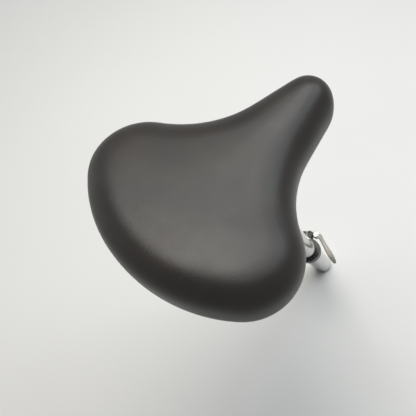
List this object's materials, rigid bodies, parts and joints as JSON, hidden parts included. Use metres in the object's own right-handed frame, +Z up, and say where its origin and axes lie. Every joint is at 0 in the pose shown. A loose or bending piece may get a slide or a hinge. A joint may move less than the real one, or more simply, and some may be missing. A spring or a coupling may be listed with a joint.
{
  "type": "bicycle saddle with seat post",
  "caption": "Wide padded bicycle saddle on coil springs, with rails, a tilting rail clamp, a chromed seat post and a quick-release seat collar with its lever.",
  "frame": {"origin": "on the seat post's axis where it enters the seat tube, just below the collar", "axes": "+X forward towards the nose of the saddle, +Y to the rider's left, +Z up; the post leans back 17 degrees from +Z"},
  "size_m": [0.2698, 0.2278, 0.4873],
  "materials": {
    "pad_skin": "soft matte sheen",
    "shell_plastic": "moulded, fine grain",
    "spring_steel": "bright drawn wire",
    "black_steel": "black coating",
    "plated_steel": "zinc plating",
    "post_chrome": "polished chrome plating",
    "collar_black": "black anodised look",
    "lever_chrome": "chrome, a little dull",
    "seat_nylon": "moulded"
  },
  "bodies": {
    "seat_post": {"seat_post": "post_chrome", "post_band": "plated_steel"},
    "seat_collar": {"collar": "collar_black", "skewer": "plated_steel", "skewer_nut": "lever_chrome", "cam_seat": "seat_nylon", "cam_pin": "plated_steel"},
    "release_lever": {"lever": "lever_chrome"},
    "rail_clamp": {"inner_cradle_left": "plated_steel", "inner_cradle_right": "plated_steel", "outer_cradle_left": "plated_steel", "outer_cradle_right": "plated_steel", "clamp_bolt": "plated_steel", "clamp_nut_left": "plated_steel", "clamp_nut_right": "plated_steel"},
    "saddle": {"saddle_rails": "plated_steel", "nose_bracket": "black_steel", "rear_bridge": "black_steel", "rail_keeper": "black_steel", "spring_left": "spring_steel", "spring_right": "spring_steel", "base_shell": "shell_plastic", "saddle_pad": "pad_skin"}
  },
  "joints": [
    {"name": "collar_slide", "type": "slide", "parent": "seat_post", "child": "seat_collar", "axis": [-0.2924, 0, 0.9563], "range_m": [0, 0.2]},
    {"name": "lever_turn", "type": "hinge", "parent": "seat_collar", "child": "release_lever", "pos_m": [0.02155, 0.00461, 0.01652], "axis": [-0.2924, 0, 0.9563], "range_deg": [0, 120]},
    {"name": "saddle_tilt", "type": "hinge", "parent": "seat_post", "child": "rail_clamp", "pos_m": [-0.10479, 0, 0.26065], "axis": [0, 1, 0], "range_deg": [-10, 12]},
    {"name": "saddle_slide", "type": "slide", "parent": "rail_clamp", "child": "saddle", "axis": [1, 0, 0], "range_m": [-0.015, 0.015]}
  ]
}
